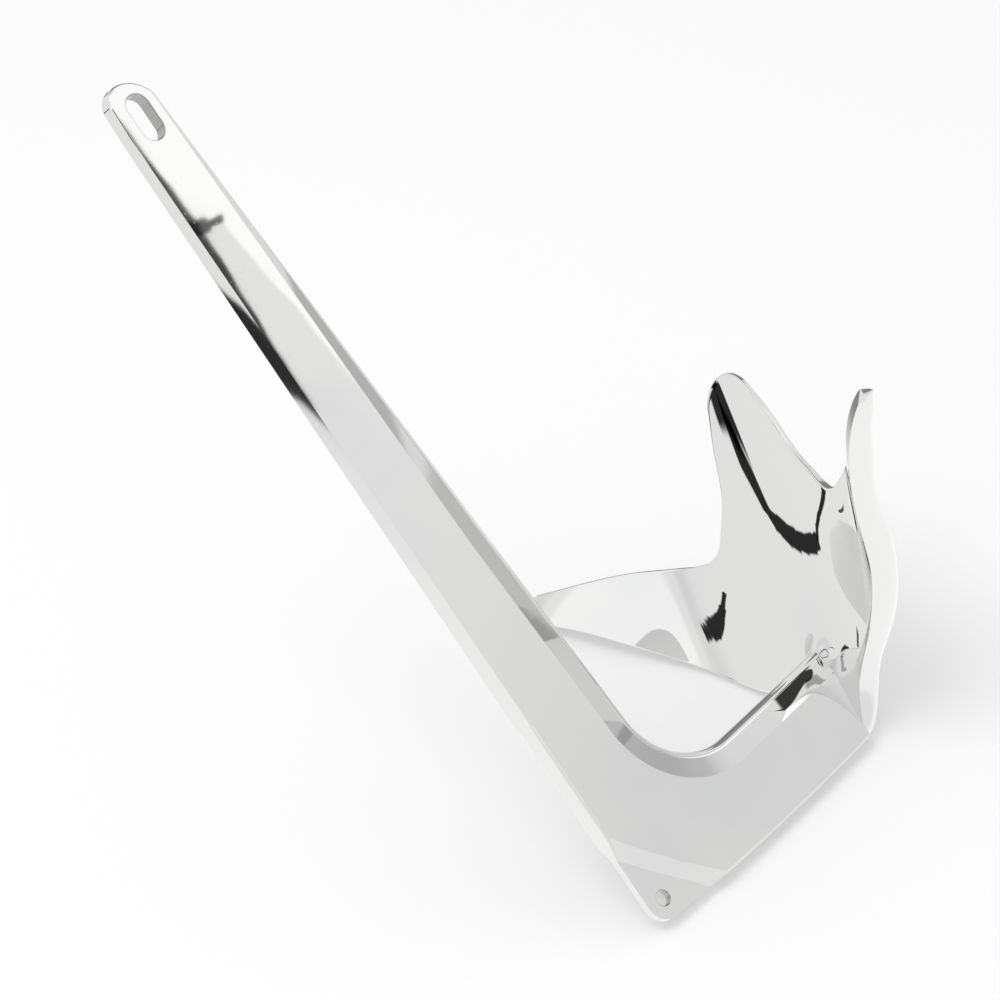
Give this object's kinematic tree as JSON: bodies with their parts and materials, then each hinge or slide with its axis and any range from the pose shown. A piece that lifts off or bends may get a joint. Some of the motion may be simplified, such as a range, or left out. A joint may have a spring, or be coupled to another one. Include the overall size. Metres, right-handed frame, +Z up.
{
  "type": "claw anchor",
  "caption": "One-piece cast claw anchor: flat tapering shank with a shackle slot, thin heel tab with a trip-line hole, and a dished three-toed claw, mirror polished.",
  "frame": {"origin": "centre of the bounding box in plan, at floor height, with the anchor lying at rest on the lower edge of its arm and one outer toe", "axes": "+Z up. -Y is the side the picture looks at. The shank rises from the floor towards -X, +Y and +Z, and the claw lies towards +X."},
  "size_m": [0.3264, 0.2578, 0.3423],
  "materials": {
    "polished_stainless": "polished"
  },
  "bodies": {
    "root": {"claw_anchor": "polished_stainless"}
  },
  "joints": []
}
